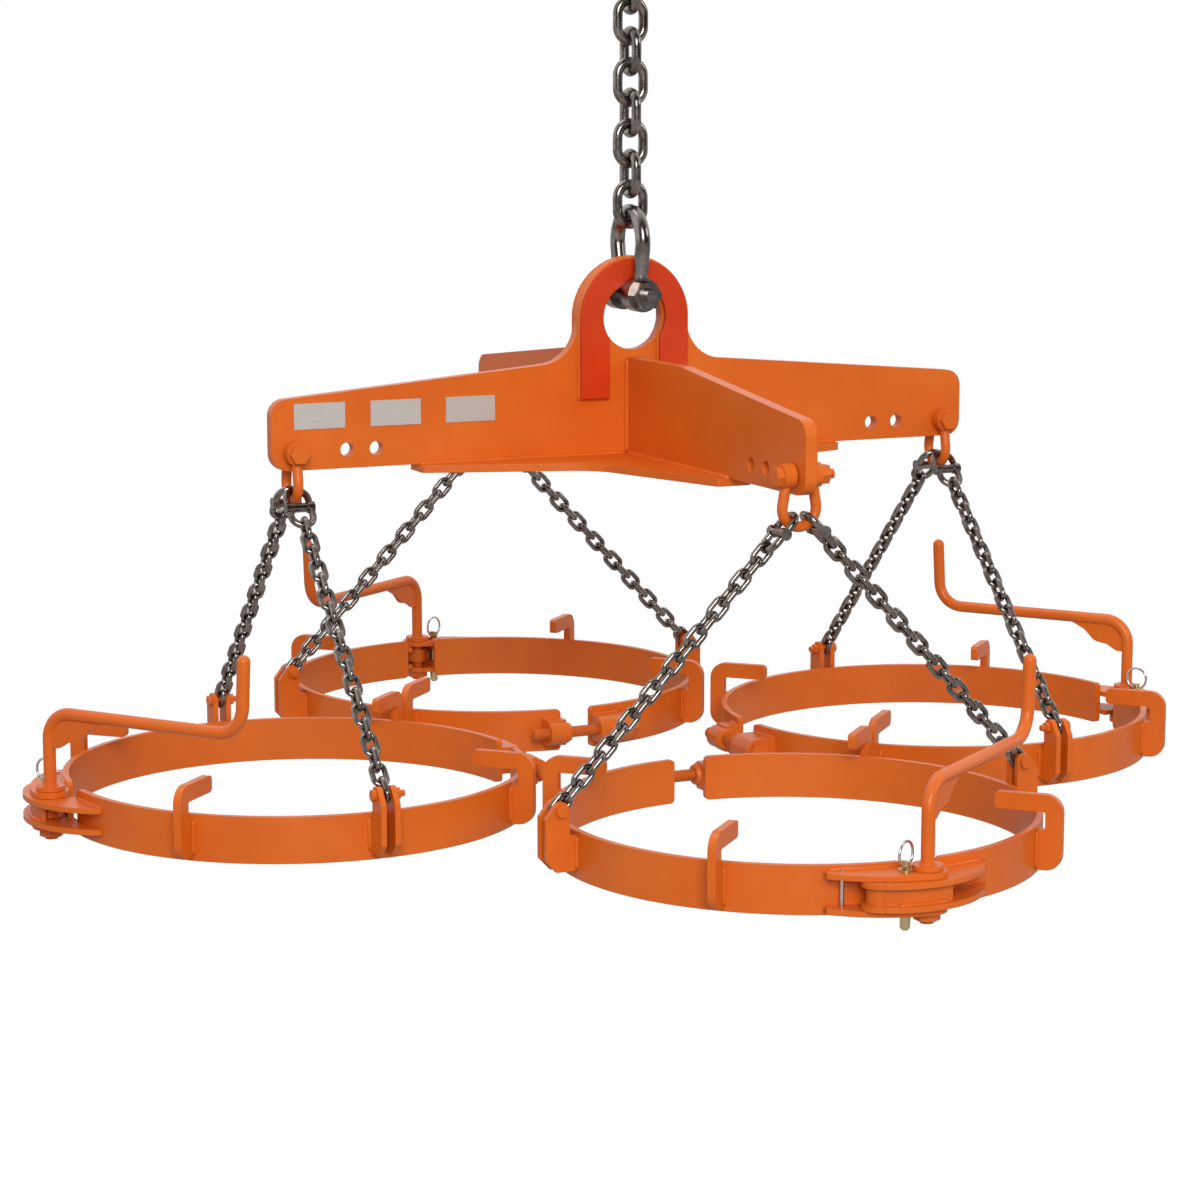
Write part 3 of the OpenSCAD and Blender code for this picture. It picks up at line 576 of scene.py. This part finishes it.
# %% Paint the floor
WHITE = (1, 1, 1, 1)
SEEN_WHITE = 0.97  # the white part of the floor to the camera and through glass
MIRRORED_WHITE = 0.3  # the white part of the floor in a reflection
floor_finish, tree = finish("white_floor")
path = put(tree, "ShaderNodeLightPath").outputs
rays = {0: path["Is Camera Ray"], 1: path["Is Transmission Ray"]}
seen = put(tree, "ShaderNodeMath", None, rays, operation="MAXIMUM")
rays = {0: path["Is Glossy Ray"]}
mirrored = put(tree, "ShaderNodeMath", {1: MIRRORED_WHITE}, rays, operation="MULTIPLY")
parts = {0: seen, 2: mirrored}
share = put(tree, "ShaderNodeMath", {1: SEEN_WHITE}, parts, operation="MULTIPLY_ADD")
matt = put(tree, "ShaderNodeBsdfDiffuse", {"Color": linear("989898")})
glow = put(tree, "ShaderNodeEmission", {"Color": WHITE, "Strength": 1.02})
both = put(tree, "ShaderNodeMixShader", None, {0: share, 1: matt, 2: glow})
put(tree, "ShaderNodeOutputMaterial", None, {"Surface": both})
floor_data.materials.append(floor_finish)
print("the floor is", SEEN_WHITE, "white to the camera")

# %% [markdown]
# ## Sky
# To the camera the sky is white. As a source of light it is brighter overhead than at the horizon,
# so the undersides of the plates stay darker than their tops. The steel mirrors the white background,
# and towards the camera a dim room, which gives each link of the chain its dark middle and bright
# sides. An even white sky would be simpler, but in it the chain would look flat and pale.

# %% Set the sky
HORIZON, OVERHEAD = 0.32, 0.7  # levels of the sky's light
ROOM = 0.06  # level of the dim room
sky = bpy.data.worlds.new("studio")
scene.world = sky
sky.use_nodes = True
tree = sky.node_tree
tree.nodes.clear()
path = put(tree, "ShaderNodeLightPath").outputs
rays = {0: path["Is Camera Ray"], 1: path["Is Transmission Ray"]}
seen = put(tree, "ShaderNodeMath", None, rays, operation="MAXIMUM")
around = put(tree, "ShaderNodeTexCoord").outputs["Generated"]
way = put(tree, "ShaderNodeSeparateXYZ", None, {"Vector": around}).outputs
rise = {"From Min": 0.0, "From Max": 0.8, "To Min": HORIZON, "To Max": OVERHEAD}
level = put(tree, "ShaderNodeMapRange", rise, {"Value": way["Z"]})
room = put(tree, "ShaderNodeMapRange", {"From Min": -0.5, "From Max": 0.1}, {"Value": way["Y"]})
soft = put(tree, "ShaderNodeBackground", {"Color": WHITE}, {"Strength": level})
white = put(tree, "ShaderNodeBackground", {"Color": WHITE, "Strength": 1.0})
dim = put(tree, "ShaderNodeBackground", {"Color": linear("8A6A50"), "Strength": ROOM})
mirror = put(tree, "ShaderNodeMixShader", None, {0: room, 1: dim, 2: white})
lit = put(tree, "ShaderNodeMixShader", None, {0: path["Is Glossy Ray"], 1: soft, 2: mirror})
mixed = put(tree, "ShaderNodeMixShader", None, {0: seen, 1: lit, 2: white})
put(tree, "ShaderNodeOutputWorld", None, {"Surface": mixed})
print("sky from", HORIZON, "at the horizon to", OVERHEAD, "overhead")

# %% [markdown]
# ## Studio light
# What faces the viewer is evenly lit and what faces left lies in soft shade. A sun would cast hard
# shadows, so the main lamp is a large soft box, far away, and above the camera. A weak one fills the
# right side, and one overhead puts a sheen on the upper edges. Their level is such that a colour
# renders about as it is written.

# %% Hang the lamps
AIM = Vector((0, 0, -0.95))  # about the middle of the lifter


def soft_box(name, place, size, watts):
    """A square lamp that points at the lifter."""
    data = bpy.data.lights.new(name, "AREA")
    data.shape = "SQUARE"
    data.size = size
    data.energy = watts
    lamp = bpy.data.objects.new(name, data)
    lamp.location = place
    lamp.rotation_mode = "QUATERNION"
    lamp.rotation_quaternion = (AIM - Vector(place)).to_track_quat("-Z", "Y")
    scene.collection.objects.link(lamp)


soft_box("front_soft_box", (-3.1, -8.5, 3.0), size=4.0, watts=610.0)
soft_box("right_soft_box", (7.5, -5.0, 3.0), size=3.0, watts=120.0)
soft_box("top_soft_box", (-0.6, 1.6, 4.2), size=3.0, watts=50.0)
print("three soft boxes hung")

# %% [markdown]
# ## Last measures
# The view is set to Standard, so colours come out as they are mixed.

# %% Finish
scene.view_settings.view_transform = "Standard"
